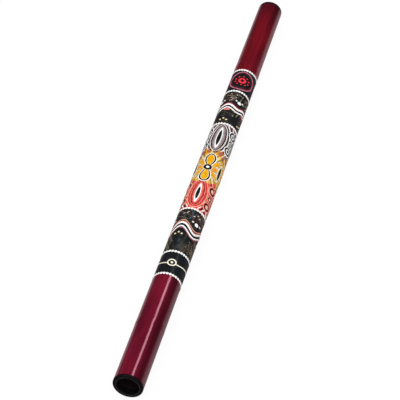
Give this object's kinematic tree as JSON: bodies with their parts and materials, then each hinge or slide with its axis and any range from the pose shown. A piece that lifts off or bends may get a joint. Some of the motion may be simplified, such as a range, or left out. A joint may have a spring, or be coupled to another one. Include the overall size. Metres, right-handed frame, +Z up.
{
  "type": "didgeridoo",
  "caption": "Straight bamboo wind instrument: a tapered tube with a painted middle, a wax mouthpiece on its narrow end and a rubber ring round its open bell end.",
  "frame": {"origin": "on the surface that the tube lies on, under the middle of its length", "axes": "+Y along the tube from the bell end to the mouth end, +Z up, +X across the tube"},
  "size_m": [0.0608, 1.199, 0.0608],
  "materials": {
    "lacquered_bamboo": "dark red translucent lacquer, glossy",
    "black_wax": "hard black beeswax compound, satin",
    "black_rubber": "black rubber, satin",
    "black_paint": "black acrylic paint under clear lacquer",
    "white_paint": "white acrylic paint under clear lacquer",
    "red_paint": "red acrylic paint under clear lacquer",
    "pink_paint": "pink acrylic paint under clear lacquer",
    "grey_paint": "mauve-grey acrylic paint under clear lacquer",
    "yellow_paint": "golden yellow acrylic paint under clear lacquer",
    "orange_paint": "orange acrylic paint under clear lacquer"
  },
  "bodies": {
    "root": {"bamboo_culm": "lacquered_bamboo", "mouthpiece": "black_wax", "bell_ring": "black_rubber"}
  },
  "joints": []
}
